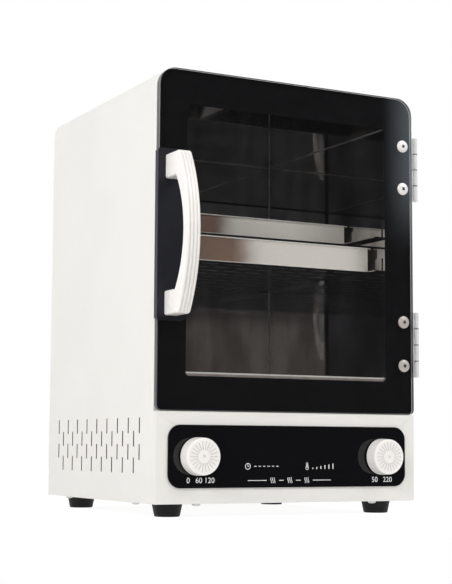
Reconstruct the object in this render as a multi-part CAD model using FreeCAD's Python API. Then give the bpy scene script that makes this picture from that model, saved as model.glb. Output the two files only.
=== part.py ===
import FreeCAD, Part
import math
import os

from FreeCAD import Vector

# A bench-top dry heat sterilizer: a white sheet-metal cabinet on rubber feet, a mirror-bright
# chamber with two sliding trays, a glass door hinged on the right and two knobs below it.
#
# Everything is drawn from the cabinet's own planes and moved once, when it is saved, so that
# the origin is the bottom centre of the whole object's box:
#   x is measured from the cabinet's middle, positive towards the hinges
#   y is measured from the front of the door glass, positive towards the back
#   z is measured from the surface that the feet stand on

X_AXIS = Vector(1, 0, 0)
Y_AXIS = Vector(0, 1, 0)
Z_AXIS = Vector(0, 0, 1)
FULL_TURN = 360.0

# Cabinet
cabinet_width = 275.0
cabinet_depth = 263.0
cabinet_height = 392.9
sheet = 1.2
corner_radius = 17.0
return_width = 12.0
fit = 0.1
overrun = 5.0

# Lower front panel
panel_height = 82.0
panel_setback = 1.0
panel_return = 18.0

# Side vents
vent_slot_width = 2.0
vent_slot_length = 14.0
vent_row_pitch = 12.0
vent_rows = 4
vent_long_row = 9
vent_top_drop = 12.5
vent_first_column_inset = 35.2
vent_last_column_inset = 28.8

# Feet
foot_height = 12.0
foot_top_radius = 14.0
foot_bottom_radius = 11.5
foot_edge_round = 1.5
foot_side_inset = 25.5
foot_end_inset = 29.0
foot_recess_radius = 5.0
foot_recess_depth = 6.5

# Machine screws
screw_radius = 2.0
screw_head_radius = 3.6
screw_head_height = 2.2
screw_reach = 6.0
small_screw_radius = 1.5
small_head_radius = 2.7
base_screw_inset = 44.0

# Base and back
base_slot_width = 3.0
base_slot_length = 30.0
base_slot_pitch = 9.0
base_slot_count = 11
back_slot_width = 3.0
back_slot_length = 16.0
back_slot_count = 13
back_slot_rise = 48.0
back_slot_gap = 9.5
back_slot_margin = 40.0
back_screw_inset = 7.0

# Chamber
chamber_side_margin = 27.5
chamber_wall = 1.0
chamber_floor_rise = 30.2
chamber_roof_margin = 30.4
chamber_back_margin = 26.5
flange_width = 7.0
lip_height = 4.0
post_radius = 5.0
post_side_inset = 20.0
post_back_inset = 14.0

# Insulation
wool_gap = 0.3
wool_front = 15.0

# Trays and runners
tray_side_gap = 5.5
tray_wall = 0.8
tray_rim = 3.5
tray_hem = 1.5
tray_back_gap = 2.5
lower_tray_height = 23.5
lower_tray_rise = 109.3
lower_tray_front = 30.0
upper_tray_height = 18.4
tray_clearance = 9.5
upper_tray_front = 73.0
tray_slot_width = 3.0
tray_slot_share = 0.7
tray_slot_columns = 8
lower_tray_slot_rows = 8
upper_tray_slot_rows = 6
tray_slot_side_margin = 12.0
tray_slot_end_margin = 18.0
runner_thickness = 1.0
runner_ledge = 9.0
runner_web = 12.0
runner_inset = 6.0
slide_gap = 0.1

# Door
glass_thickness = 4.0
glass_chamfer = 0.5
glass_low_radius = 4.5
door_gap = 0.7
door_spacing = 2.6
print_thickness = 0.2
print_inset = 0.2
window_side_margin = 30.2
window_low_margin = 31.0
window_top_margin = 31.7
window_radius = 3.5

# Door seal
seal_width = 4.5
seal_inset = 1.5
seal_gap = 0.3

# Hinges
hinge_height = 63.5
hinge_knuckles = 4
hinge_leaf = 1.1
hinge_leaf_reach = 24.5
hinge_overhang = 6.5
knuckle_radius = 3.0
knuckle_gap = 0.3
pin_radius = 1.5
running_gap = 0.05
lower_hinge_rise = 67.7
upper_hinge_drop = 69.0
hinge_screw_spacing = 42.3
hinge_screw_inset = 11.9
truss_radius = 5.95
truss_height = 2.4
truss_rim = 0.7

# Handle
handle_length = 145.2
handle_width = 13.5
handle_inset = 6.3
handle_lift = 1.3
handle_stand = 25.0
handle_bow = 20.0
handle_post = 22.0
handle_end_thickness = 5.5
handle_grip_thickness = 9.5
handle_corner = 4.0
handle_edge_round = 2.0
flute_radius = 1.1
flute_pitch = 3.4
flute_count = 3
plate_thickness = 1.0
plate_width = 28.8
plate_back_width = 9.2
plate_low_margin = 4.7
plate_top_margin = 5.6
plate_corner = 2.0
plate_low_corner = 7.0
thin_head_height = 1.5

# Magnetic catches
magnet_length = 26.0
magnet_width = 7.0
magnet_proud = 1.1
magnet_depth = 6.0
magnet_inset = 9.0
strike_thickness = 0.9
catch_gap = 9.0

# Control fascia
fascia_side_margin = 11.6
fascia_low_margin = 14.0
fascia_top_margin = 12.0
fascia_radius = 12.0
fascia_thickness = 1.5

# Knobs, shafts and what they turn
knob_radius = 17.0
knob_front_radius = 16.5
knob_depth = 12.9
knob_stand = 1.9
knob_inset = 28.1
knob_edge_round = 1.3
knob_wall = 2.4
knob_hollow_depth = 8.5
knob_boss_radius = 5.5
knob_dimple_radius = 1.4
knob_dimple_depth = 0.8
ray_count = 22
ray_width = 0.9
ray_depth = 0.5
ray_inner_radius = 6.0
ray_outer_radius = 13.4
shaft_radius = 3.0
shaft_flat = 1.0
shaft_insertion = 12.0
bush_radius = 5.0
control_screw_spacing = 28.0
timer_size = 42.0
timer_depth = 9.0
timer_drum_radius = 18.5
timer_drum_depth = 19.0
thermostat_width = 44.0
thermostat_height = 34.0
thermostat_depth = 24.0
tab_width = 6.3
tab_thickness = 0.8
tab_length = 8.0
tab_pitch = 11.0

# Heater, thermostat bulb and thermal cut-out
heater_radius = 3.25
heater_side_inset = 40.1
heater_limbs = 4
heater_front = 45.0
heater_back_inset = 23.0
heater_bend = 12.0
heater_leg = 38.0
heater_clearance_hole = 6.0
strap_width = 12.0
strap_thickness = 0.8
strap_overhang = 9.0
strap_front = 80.0
strap_back_inset = 73.0
bulb_radius = 3.0
bulb_length = 66.0
bulb_lead = 44.0
capillary_radius = 0.9
capillary_bend = 8.0
capillary_inset = 33.0
cutout_radius = 8.0
cutout_height = 7.5
cutout_inset = 114.0
cutout_tab = 12.0

# Terminal block
block_length = 46.0
block_width = 18.0
block_height = 15.0
block_inset = 144.0
block_ways = 5
block_hole_radius = 1.8

# Mains inlet on the back
inlet_side_inset = 53.5
inlet_rise = 40.0
inlet_flange_width = 50.0
inlet_flange_height = 24.0
inlet_flange_thickness = 2.0
inlet_flange_radius = 6.0
inlet_body_width = 27.6
inlet_body_height = 20.0
inlet_body_depth = 20.0
inlet_recess_width = 24.2
inlet_recess_height = 16.4
inlet_recess_depth = 17.0
inlet_recess_radius = 3.0
inlet_screw_spacing = 40.0
inlet_pin_width = 2.0
inlet_pin_height = 4.0
inlet_pin_spacing = 14.0
inlet_pin_offset = 2.0
inlet_pin_recess = 2.0

# Planes and edges that follow from the sizes above
half_width = cabinet_width / 2
inner_half_width = half_width - sheet
cabinet_bottom = foot_height
cabinet_top = cabinet_bottom + cabinet_height
panel_front = panel_setback
panel_back = panel_front + sheet
panel_top = cabinet_bottom + panel_height
cabinet_rear = panel_front + cabinet_depth
back_front = cabinet_rear - sheet
return_front = back_front - sheet
base_bottom = cabinet_bottom + sheet
base_top = base_bottom + sheet

glass_back = glass_thickness
print_back = glass_back + print_thickness
frame_front = glass_back + door_spacing
frame_back = frame_front + sheet
door_bottom = panel_top + door_gap
door_top = cabinet_top

partition_bottom = panel_top
partition_top = partition_bottom + sheet

chamber_half = half_width - chamber_side_margin
chamber_outer_half = chamber_half + chamber_wall
chamber_floor = partition_top + chamber_floor_rise
chamber_ceiling = cabinet_top - chamber_roof_margin
chamber_back = cabinet_rear - chamber_back_margin
chamber_underside = chamber_floor - chamber_wall
chamber_roof = chamber_ceiling + chamber_wall
chamber_outer_back = chamber_back + chamber_wall
flange_front = frame_front - chamber_wall

wool_outer = inner_half_width - sheet - wool_gap

tray_half_width = chamber_half - tray_side_gap
tray_back = chamber_back - tray_back_gap
lower_tray_bottom = chamber_floor + lower_tray_rise
upper_tray_bottom = lower_tray_bottom + lower_tray_height + tray_clearance

fascia_half = half_width - fascia_side_margin
fascia_bottom = cabinet_bottom + fascia_low_margin
fascia_top = panel_top - fascia_top_margin
fascia_front = panel_front - fascia_thickness
knob_height = (fascia_bottom + fascia_top) / 2
knob_offset = fascia_half - knob_inset
knob_back = fascia_front - knob_stand
knob_front = knob_back - knob_depth

hinge_x = half_width + hinge_overhang
hinge_y = (print_back + frame_front) / 2
hinge_middles = (door_bottom + lower_hinge_rise, door_top - upper_hinge_drop)
hinge_screw_x = half_width - hinge_screw_inset

handle_left = -half_width + handle_inset
handle_x = handle_left + handle_width / 2
handle_foot = -plate_thickness
handle_middle = (door_bottom + door_top) / 2 + handle_lift
handle_bottom = handle_middle - handle_length / 2
handle_top = handle_middle + handle_length / 2
handle_screw_rises = (handle_bottom + handle_post / 2, handle_top - handle_post / 2)
plate_bottom = handle_bottom - plate_low_margin
plate_top = handle_top + plate_top_margin
catch_reach = catch_gap + magnet_length / 2
catch_middles = (plate_bottom - catch_reach, plate_top + catch_reach)

heater_half = chamber_half - heater_side_inset
heater_spacing = heater_half * 2 / (heater_limbs - 1)
heater_back = chamber_back - heater_back_inset
heater_z = chamber_underside - fit - heater_radius
strap_bottom = heater_z - heater_radius - fit - strap_thickness
strap_back = chamber_back - strap_back_inset
capillary_turn = chamber_back - capillary_inset
bulb_front = capillary_turn - bulb_lead - bulb_length
cutout_y = cabinet_rear - cutout_inset
block_y = cabinet_rear - block_inset

inlet_x = -half_width + inlet_side_inset
inlet_z = cabinet_bottom + inlet_rise

# The whole object's box, from which the shift to its bottom centre follows
left_reach = -half_width - fit - plate_thickness
right_reach = hinge_x + knuckle_radius
front_reach = handle_foot - handle_stand - handle_bow
rear_reach = cabinet_rear + screw_head_height
shift = Vector(-(left_reach + right_reach) / 2, -(front_reach + rear_reach) / 2, 0)


# Shapes used throughout
def box(x_low, x_high, y_low, y_high, z_low, z_high):
    return Part.makeBox(x_high - x_low, y_high - y_low, z_high - z_low, Vector(x_low, y_low, z_low))


def rod(radius, start, axis, length):
    return Part.makeCylinder(radius, length, start, axis)


def rectangle(u_low, u_high, v_low, v_high, low_radius=0.0, high_radius=0.0):
    return [
        (u_low, v_low, low_radius),
        (u_high, v_low, low_radius),
        (u_high, v_high, high_radius),
        (u_low, v_high, high_radius),
    ]


def rounded_wire(corners, place):
    """Closed wire through corners (u, v, radius), each radius turned into an arc."""
    runs = []
    for index, (u, v, radius) in enumerate(corners):
        here = Vector(u, v, 0)
        before = Vector(corners[index - 1][0], corners[index - 1][1], 0)
        after_corner = corners[(index + 1) % len(corners)]
        after = Vector(after_corner[0], after_corner[1], 0)
        back = (before - here).normalize()
        ahead = (after - here).normalize()
        half_angle = back.getAngle(ahead) / 2
        inward = (back + ahead).normalize()
        reach = radius / math.tan(half_angle)
        middle = here + inward * (radius / math.sin(half_angle) - radius)
        runs.append((here + back * reach, middle, here + ahead * reach))
    edges = []
    for index, (start, middle, end) in enumerate(runs):
        if corners[index][2] > 0:
            edges.append(Part.Arc(place(start), place(middle), place(end)).toShape())
        next_start = runs[(index + 1) % len(runs)][0]
        edges.append(Part.LineSegment(place(end), place(next_start)).toShape())
    return Part.Wire(edges)


def slab(corners, axis, low, high):
    """Rounded polygon across one axis, thickened from low to high along it."""

    def place(point):
        if axis.x:
            return Vector(low, point.x, point.y)
        if axis.y:
            return Vector(point.x, low, point.y)
        return Vector(point.x, point.y, low)

    return Part.Face(rounded_wire(corners, place)).extrude(axis * (high - low))


def both_sides(shape):
    return [shape, shape.mirror(Vector(), X_AXIS)]


def joined(shapes):
    return shapes[0].multiFuse(shapes[1:]).removeSplitter()


def without(shape, cuts):
    return shape.cut(Part.makeCompound(cuts))


def tube(points, radius, bend):
    """Round tube along straight runs joined by tangent arcs of one radius."""
    edges = []
    start = points[0]
    for before, corner, after in zip(points, points[1:], points[2:]):
        back = (before - corner).normalize()
        ahead = (after - corner).normalize()
        half_angle = back.getAngle(ahead) / 2
        reach = bend / math.tan(half_angle)
        inward = (back + ahead).normalize()
        arc_start = corner + back * reach
        arc_end = corner + ahead * reach
        arc_middle = corner + inward * (bend / math.sin(half_angle) - bend)
        edges.append(Part.LineSegment(start, arc_start).toShape())
        edges.append(Part.Arc(arc_start, arc_middle, arc_end).toShape())
        start = arc_end
    edges.append(Part.LineSegment(start, points[-1]).toShape())
    path = Part.Wire(edges)
    profile = Part.Wire(Part.makeCircle(radius, points[0], points[1] - points[0]))
    sweep = Part.BRepOffsetAPI.MakePipeShell(path)
    sweep.add(profile)
    sweep.build()
    sweep.makeSolid()
    return sweep.shape()


def pan_screw(seat, axis, radius, head_radius, head_height, reach):
    """Screw whose head sits on seat and whose shank runs along axis."""
    head = rod(head_radius, seat - axis * head_height, axis, head_height)
    rim = [edge for edge in head.Edges if edge.Closed and on_plane(edge, seat - axis * head_height, axis)]
    head = head.makeFillet(head_height / 2, rim)
    return joined([head, rod(radius, seat, axis, reach)])


def on_plane(edge, point, axis):
    return abs((edge.CenterOfMass - point).dot(axis)) < fit / 10


def flush_screw(seat, axis, radius, head_radius, head_height, reach):
    """Countersunk screw whose head's face lies at seat."""
    head = Part.makeCone(head_radius, radius, head_height, seat, axis)
    return joined([head, rod(radius, seat + axis * head_height, axis, reach)])


def flush_hole(seat, axis, radius, head_radius, head_height, reach):
    return flush_screw(seat, axis, radius + fit, head_radius + fit, head_height, reach)


nodes = {}


def save(name, shape):
    solids = shape if isinstance(shape, list) else [shape]
    moved = [solid.translated(shift) for solid in solids]
    nodes[name] = Part.makeCompound(moved) if len(moved) > 1 else moved[0]


# Casing wrap: sides and top in one folded sheet, stepped back behind the door
def vent_cuts():
    column_run = cabinet_depth - vent_first_column_inset - vent_last_column_inset
    column_pitch = column_run / (vent_long_row - 1)
    cuts = []
    for row in range(vent_rows):
        short = row % 2
        middle = panel_top - vent_top_drop - row * vent_row_pitch
        for column in range(vent_long_row - short):
            along = panel_front + vent_first_column_inset + (column + short / 2) * column_pitch
            cuts.append(
                box(
                    -half_width - overrun,
                    half_width + overrun,
                    along - vent_slot_width / 2,
                    along + vent_slot_width / 2,
                    middle - vent_slot_length / 2,
                    middle + vent_slot_length / 2,
                )
            )
    return cuts


def casing_outline(inset, low):
    return rectangle(
        -half_width + inset, half_width - inset, low, cabinet_top - inset, 0.0, corner_radius - inset
    )


def base_screw_places():
    front = panel_back + return_width / 2
    rear = back_front - foot_end_inset - return_width
    places = [Vector(side * (half_width - base_screw_inset), front, cabinet_bottom) for side in (-1, 1)]
    edge = half_width - sheet - return_width / 2
    places += [Vector(side * edge, rear, cabinet_bottom) for side in (-1, 1)]
    places += [Vector(side * edge, foot_end_inset * 2, cabinet_bottom) for side in (-1, 1)]
    return places


def back_screw_places():
    edge = half_width - sheet - back_screw_inset
    top = cabinet_top - sheet - back_screw_inset
    rises = (cabinet_bottom + foot_end_inset * 2, (cabinet_bottom + cabinet_top) / 2)
    places = [Vector(side * edge, cabinet_rear, rise) for side in (-1, 1) for rise in rises]
    places += [Vector(side * edge / 2, cabinet_rear, top) for side in (-1, 1)]
    return places


def clearance_rods(places, axis, radius):
    return [rod(radius, place - axis * overrun, axis, overrun * 3) for place in places]


def casing_wrap():
    upper = slab(casing_outline(0.0, cabinet_bottom), Y_AXIS, frame_front, cabinet_rear)
    lower = box(-half_width, half_width, panel_back, frame_front, cabinet_bottom, panel_top)
    hollow = slab(
        casing_outline(sheet, cabinet_bottom - overrun), Y_AXIS, panel_back - overrun, cabinet_rear + overrun
    )
    shell = without(joined([upper, lower]), [hollow])
    rear_ring = slab(casing_outline(sheet, base_top), Y_AXIS, return_front, back_front)
    ring_hole = box(
        -inner_half_width + return_width,
        inner_half_width - return_width,
        return_front - overrun,
        back_front + overrun,
        base_top - overrun,
        cabinet_top - sheet - return_width,
    )
    floor_returns = both_sides(
        box(
            inner_half_width - return_width,
            inner_half_width,
            panel_back + return_width + fit,
            back_front,
            cabinet_bottom,
            base_bottom,
        )
    )
    wrap = joined([shell, without(rear_ring, [ring_hole])] + floor_returns)
    cuts = vent_cuts()
    cuts += clearance_rods(base_screw_places(), Z_AXIS, screw_radius + fit)
    cuts += clearance_rods(back_screw_places(), Y_AXIS, screw_radius + fit)
    return without(wrap, cuts)


save("casing_wrap", casing_wrap())


# Front panel: lower front with a return at the top and one under the base
def control_screw_places(x):
    half = control_screw_spacing / 2
    return [Vector(x + side * half, panel_front, knob_height) for side in (-1, 1)]


def front_panel():
    face = box(-half_width, half_width, panel_front, panel_back, cabinet_bottom, panel_top)
    top_return = box(
        -inner_half_width + sheet,
        inner_half_width - sheet,
        panel_back,
        panel_back + panel_return,
        panel_top - sheet,
        panel_top,
    )
    low_return = box(
        -inner_half_width + fit,
        inner_half_width - fit,
        panel_back,
        panel_back + return_width,
        cabinet_bottom,
        base_bottom,
    )
    cuts = clearance_rods(base_screw_places(), Z_AXIS, screw_radius + fit)
    for x in (-knob_offset, knob_offset):
        start = Vector(x, panel_front - overrun, knob_height)
        cuts.append(rod(bush_radius + fit, start, Y_AXIS, overrun * 2))
        for place in control_screw_places(x):
            cuts.append(flush_hole(place, Y_AXIS, small_screw_radius, small_head_radius, sheet, overrun))
    return without(joined([face, top_return, low_return]), cuts)


save("front_panel", front_panel())


# Front frame: the flat face behind the door's edge, with the chamber's opening
def magnet_solid(rise, grow):
    x_low = -half_width + magnet_inset
    return box(
        x_low - grow,
        x_low + magnet_width + grow,
        frame_front - magnet_proud,
        frame_front + magnet_depth,
        rise - magnet_length / 2 - grow,
        rise + magnet_length / 2 + grow,
    )


def hinge_screw_places(y):
    half = hinge_screw_spacing / 2
    return [Vector(hinge_screw_x, y, middle + side * half) for middle in hinge_middles for side in (-1, 1)]


def front_frame():
    inset = sheet + fit
    plate = slab(casing_outline(inset, panel_top), Y_AXIS, frame_front, frame_back)
    opening = box(
        -chamber_outer_half - fit,
        chamber_outer_half + fit,
        frame_front - overrun,
        frame_back + overrun,
        chamber_underside - fit,
        chamber_roof + fit,
    )
    cuts = [opening]
    cuts += [magnet_solid(rise, fit) for rise in catch_middles]
    cuts += clearance_rods(hinge_screw_places(frame_front), Y_AXIS, screw_radius + fit)
    side_return = box(
        inner_half_width - fit - sheet,
        inner_half_width - fit,
        frame_back,
        wool_front - fit,
        partition_top + return_width,
        cabinet_top - corner_radius,
    )
    return without(joined([plate] + both_sides(side_return)), cuts)


save("front_frame", front_frame())


# Base plate with its air slots and an upright edge behind the back panel
def foot_places():
    x = half_width - foot_side_inset
    rows = (panel_front + foot_end_inset, cabinet_rear - foot_end_inset)
    return [Vector(side * x, y, 0) for y in rows for side in (-1, 1)]


def base_plate():
    edge = inner_half_width - fit
    plate = box(-edge, edge, panel_back + fit, back_front - fit, base_bottom, base_top)
    rear_edge = inner_half_width - return_width - fit
    upright = box(-rear_edge, rear_edge, return_front, back_front - fit, base_top, base_top + return_width)
    cuts = []
    for index in range(base_slot_count):
        x = (index - (base_slot_count - 1) / 2) * base_slot_pitch
        for y in (panel_back + base_slot_length, back_front - base_slot_length * 2):
            cuts.append(
                box(
                    x - base_slot_width / 2,
                    x + base_slot_width / 2,
                    y,
                    y + base_slot_length,
                    base_bottom - overrun,
                    base_top + overrun,
                )
            )
    places = base_screw_places() + [place + Z_AXIS * base_bottom for place in foot_places()]
    cuts += clearance_rods(places, Z_AXIS, screw_radius + fit)
    return without(joined([plate, upright]), cuts)


save("base_plate", base_plate())


# Back panel with two rows of air slots and the inlet's opening
def back_panel():
    panel = slab(casing_outline(sheet + fit, cabinet_bottom + fit), Y_AXIS, back_front, cabinet_rear)
    cuts = [
        box(
            inlet_x - inlet_body_width / 2 - fit,
            inlet_x + inlet_body_width / 2 + fit,
            back_front - overrun,
            cabinet_rear + overrun,
            inlet_z - inlet_body_height / 2 - fit,
            inlet_z + inlet_body_height / 2 + fit,
        )
    ]
    row_left = inlet_x + inlet_flange_width / 2 + back_slot_gap + back_slot_width / 2
    row_right = half_width - back_slot_margin - back_slot_width / 2
    row_half = (row_right - row_left) / 2
    rows = (
        ((row_left + row_right) / 2, cabinet_bottom + back_slot_rise),
        (0.0, cabinet_top - back_slot_rise),
    )
    for middle, z in rows:
        for index in range(back_slot_count):
            x = middle + (index * 2 / (back_slot_count - 1) - 1) * row_half
            cuts.append(
                box(
                    x - back_slot_width / 2,
                    x + back_slot_width / 2,
                    back_front - overrun,
                    cabinet_rear + overrun,
                    z - back_slot_length / 2,
                    z + back_slot_length / 2,
                )
            )
    cuts += clearance_rods(back_screw_places(), Y_AXIS, screw_radius + fit)
    cuts += clearance_rods(inlet_screw_places(), Y_AXIS, small_screw_radius + fit)
    return without(panel, cuts)


def inlet_screw_places():
    half = inlet_screw_spacing / 2
    return [Vector(inlet_x + side * half, cabinet_rear, inlet_z) for side in (-1, 1)]


save("back_panel", back_panel())


# Partition over the electrical bay, with edges turned up against the sides
def heater_leg_places():
    return [Vector(side * heater_half, heater_back, heater_z - heater_leg) for side in (-1, 1)]


def post_places():
    x = chamber_half - post_side_inset
    return [Vector(side * x, chamber_back - post_back_inset, partition_top) for side in (-1, 1)]


def riser_cuts(low):
    """Holes from low upwards for the heater's legs and the thermostat's capillary."""
    height = chamber_underside - low
    cuts = []
    for place in heater_leg_places():
        cuts.append(rod(heater_clearance_hole, Vector(place.x, place.y, low), Z_AXIS, height))
    riser = Vector(heater_spacing, capillary_turn, low)
    cuts.append(rod(heater_clearance_hole, riser, Z_AXIS, height))
    return cuts


def partition_plate():
    plate = box(
        -inner_half_width,
        inner_half_width,
        frame_back + fit,
        return_front - fit,
        partition_bottom,
        partition_top,
    )
    edge = box(
        inner_half_width - sheet,
        inner_half_width,
        wool_front,
        return_front - fit,
        partition_top,
        partition_top + return_width - fit,
    )
    return without(joined([plate] + both_sides(edge)), riser_cuts(partition_bottom - overrun))


save("partition_plate", partition_plate())


# Chamber: open-fronted box with a flange round its mouth and a low lip on its floor
def chamber():
    outer = box(
        -chamber_outer_half,
        chamber_outer_half,
        flange_front,
        chamber_outer_back,
        chamber_underside,
        chamber_roof,
    )
    inner = box(
        -chamber_half, chamber_half, flange_front - overrun, chamber_back, chamber_floor, chamber_ceiling
    )
    flange = box(
        -chamber_outer_half - flange_width,
        chamber_outer_half + flange_width,
        flange_front,
        frame_front,
        chamber_underside - flange_width,
        chamber_roof + flange_width,
    )
    lip = box(
        -chamber_half,
        chamber_half,
        flange_front,
        frame_front,
        chamber_floor,
        chamber_floor + lip_height,
    )
    shell = without(joined([outer, flange]), [inner])
    return joined([shell, lip])


save("chamber", chamber())

posts = [rod(post_radius, place, Z_AXIS, chamber_underside - partition_top) for place in post_places()]
save("chamber_posts", posts)


# Runners: angle strips on the chamber's side walls, one pair under each tray
def runner(tray_bottom):
    ledge_top = tray_bottom - slide_gap
    ledge = box(
        chamber_half - runner_ledge,
        chamber_half,
        frame_front + runner_inset,
        chamber_back - runner_inset,
        ledge_top - runner_thickness,
        ledge_top,
    )
    web = box(
        chamber_half - runner_thickness,
        chamber_half,
        frame_front + runner_inset,
        chamber_back - runner_inset,
        ledge_top,
        ledge_top + runner_web,
    )
    return joined([ledge, web])


runner_pairs = [both_sides(runner(bottom)) for bottom in (lower_tray_bottom, upper_tray_bottom)]
save("runners_right", [pair[0] for pair in runner_pairs])
save("runners_left", [pair[1] for pair in runner_pairs])


# Trays: folded from thin sheet, with side rims over the runners and a slotted bottom
def tray(front, bottom, height, rows):
    back = tray_back
    top = bottom + height
    outer = box(-tray_half_width, tray_half_width, front, back, bottom, top)
    rims = both_sides(
        box(tray_half_width, tray_half_width + tray_rim, front, back, top - tray_wall, top)
    )
    hem = box(-tray_half_width, tray_half_width, front - tray_hem, front, top - tray_wall, top)
    hollow = box(
        -tray_half_width + tray_wall,
        tray_half_width - tray_wall,
        front + tray_wall,
        back - tray_wall,
        bottom + tray_wall,
        top + overrun,
    )
    column_pitch = (tray_half_width - tray_slot_side_margin) * 2 / (tray_slot_columns - 1 + tray_slot_share)
    slot_length = column_pitch * tray_slot_share
    first_row = front + tray_slot_end_margin
    row_pitch = (back - tray_slot_end_margin - first_row) / (rows - 1)
    cuts = [hollow]
    for column in range(tray_slot_columns):
        x = (column - (tray_slot_columns - 1) / 2) * column_pitch
        for row in range(rows):
            y = first_row + row * row_pitch
            cuts.append(
                box(
                    x - slot_length / 2,
                    x + slot_length / 2,
                    y - tray_slot_width / 2,
                    y + tray_slot_width / 2,
                    bottom - overrun,
                    bottom + tray_wall,
                )
            )
    return without(joined([outer, hem] + rims), cuts)


save("lower_tray", tray(lower_tray_front, lower_tray_bottom, lower_tray_height, lower_tray_slot_rows))
save("upper_tray", tray(upper_tray_front, upper_tray_bottom, upper_tray_height, upper_tray_slot_rows))


# Insulation slabs round the chamber
def insulation():
    rear = cabinet_rear - screw_reach - wool_gap
    low = partition_top + wool_gap
    side_top = chamber_roof
    chamber_side = chamber_outer_half + wool_gap
    inset = sheet + wool_gap
    top_slab = slab(casing_outline(inset, chamber_roof + wool_gap), Y_AXIS, wool_front, rear)
    save("insulation_top", top_slab)
    right = box(chamber_side, wool_outer, wool_front, rear, low, side_top)
    save("insulation_right", right)
    save("insulation_left", right.mirror(Vector(), X_AXIS))
    back = box(
        -chamber_outer_half, chamber_outer_half, chamber_outer_back + wool_gap, rear, low, side_top
    )
    save("insulation_back", back)
    bottom = box(
        -chamber_outer_half,
        chamber_outer_half,
        wool_front,
        chamber_outer_back,
        low,
        strap_bottom - wool_gap,
    )
    cuts = riser_cuts(low - overrun)
    cuts += [rod(post_radius + wool_gap, place, Z_AXIS, chamber_underside) for place in post_places()]
    save("insulation_bottom", without(bottom, cuts))


insulation()


# Heater: one tube bent to and fro under the chamber floor, its legs turned down at the back
def heater_element():
    half_turn = heater_spacing / 2
    edges = []
    xs = [-heater_half + index * heater_spacing for index in range(heater_limbs)]

    def line(start, end):
        edges.append(Part.LineSegment(start, end).toShape())

    def arc(start, middle, end):
        edges.append(Part.Arc(start, middle, end).toShape())

    def leg_arc(x, upwards):
        low = Vector(x, heater_back, heater_z - heater_bend)
        high = Vector(x, heater_back - heater_bend, heater_z)
        slant = heater_bend * (1 - math.sqrt(0.5))
        middle = Vector(x, heater_back - slant, heater_z - slant)
        arc(low, middle, high) if upwards else arc(high, middle, low)

    foot = Vector(xs[0], heater_back, heater_z - heater_leg)
    line(foot, Vector(xs[0], heater_back, heater_z - heater_bend))
    leg_arc(xs[0], True)
    limb_back = heater_back - heater_bend
    inner_back = limb_back - half_turn
    for index in range(heater_limbs - 1):
        here, following = xs[index], xs[index + 1]
        forwards = index % 2 == 0
        start_y = inner_back if index else limb_back
        turn_y = heater_front if forwards else inner_back
        if not forwards:
            start_y = heater_front
        line(Vector(here, start_y, heater_z), Vector(here, turn_y, heater_z))
        tip_y = turn_y - half_turn if forwards else turn_y + half_turn
        arc(
            Vector(here, turn_y, heater_z),
            Vector((here + following) / 2, tip_y, heater_z),
            Vector(following, turn_y, heater_z),
        )
    line(Vector(xs[-1], heater_front, heater_z), Vector(xs[-1], limb_back, heater_z))
    leg_arc(xs[-1], False)
    line(
        Vector(xs[-1], heater_back, heater_z - heater_bend),
        Vector(xs[-1], heater_back, heater_z - heater_leg),
    )
    sweep = Part.BRepOffsetAPI.MakePipeShell(Part.Wire(edges))
    sweep.add(Part.Wire(Part.makeCircle(heater_radius, foot, Z_AXIS)))
    sweep.build()
    sweep.makeSolid()
    return sweep.shape()


save("heater_element", heater_element())


def heater_strap(y):
    half = heater_half + heater_radius + strap_overhang
    outer = box(-half, half, y, y + strap_width, strap_bottom, chamber_underside)
    inner = box(
        -half + strap_thickness,
        half - strap_thickness,
        y - overrun,
        y + strap_width + overrun,
        strap_bottom + strap_thickness,
        chamber_underside + overrun,
    )
    return without(outer, [inner])


save("heater_straps", [heater_strap(strap_front), heater_strap(strap_back)])


# Thermal cut-out: a disc on a tab under the partition
def thermal_cutout():
    seat = Vector(0, cutout_y, partition_bottom)
    disc = rod(cutout_radius, seat - Z_AXIS * cutout_height, Z_AXIS, cutout_height)
    ears = box(
        -cutout_tab,
        cutout_tab,
        cutout_y - tab_width / 2,
        cutout_y + tab_width / 2,
        partition_bottom - tab_thickness,
        partition_bottom,
    )
    low = partition_bottom - cutout_height - tab_length
    tabs = both_sides(
        box(
            tab_width / 2,
            tab_width / 2 + tab_thickness,
            cutout_y - tab_width / 2,
            cutout_y + tab_width / 2,
            low,
            partition_bottom - cutout_height,
        )
    )
    return joined([disc, ears] + tabs)


save("thermal_cutout", thermal_cutout())


# Controls: timer and thermostat behind the panel, each with a bush through it
def control_bores(x):
    cuts = [rod(shaft_radius + running_gap, Vector(x, panel_front - overrun, knob_height), Y_AXIS,
                overrun + shaft_insertion + sheet)]
    for place in control_screw_places(x):
        cuts.append(rod(small_screw_radius + fit, place, Y_AXIS, sheet + screw_reach + fit))
    return cuts


def tabs_behind(x, y):
    half = tab_width / 2
    tabs = []
    for side in (-1, 0, 1):
        middle = x + side * tab_pitch
        tabs.append(
            box(
                middle - tab_thickness / 2,
                middle + tab_thickness / 2,
                y,
                y + tab_length,
                knob_height - half,
                knob_height + half,
            )
        )
    return tabs


def timer_body():
    x = -knob_offset
    half = timer_size / 2
    base = slab(
        rectangle(x - half, x + half, knob_height - half, knob_height + half, bush_radius, bush_radius),
        Y_AXIS,
        panel_back,
        panel_back + timer_depth,
    )
    drum_start = Vector(x, panel_back + timer_depth, knob_height)
    drum = rod(timer_drum_radius, drum_start, Y_AXIS, timer_drum_depth)
    bush = rod(bush_radius, Vector(x, panel_front, knob_height), Y_AXIS, sheet)
    tabs = tabs_behind(x, panel_back + timer_depth + timer_drum_depth)
    return without(joined([base, drum, bush] + tabs), control_bores(x))


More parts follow.
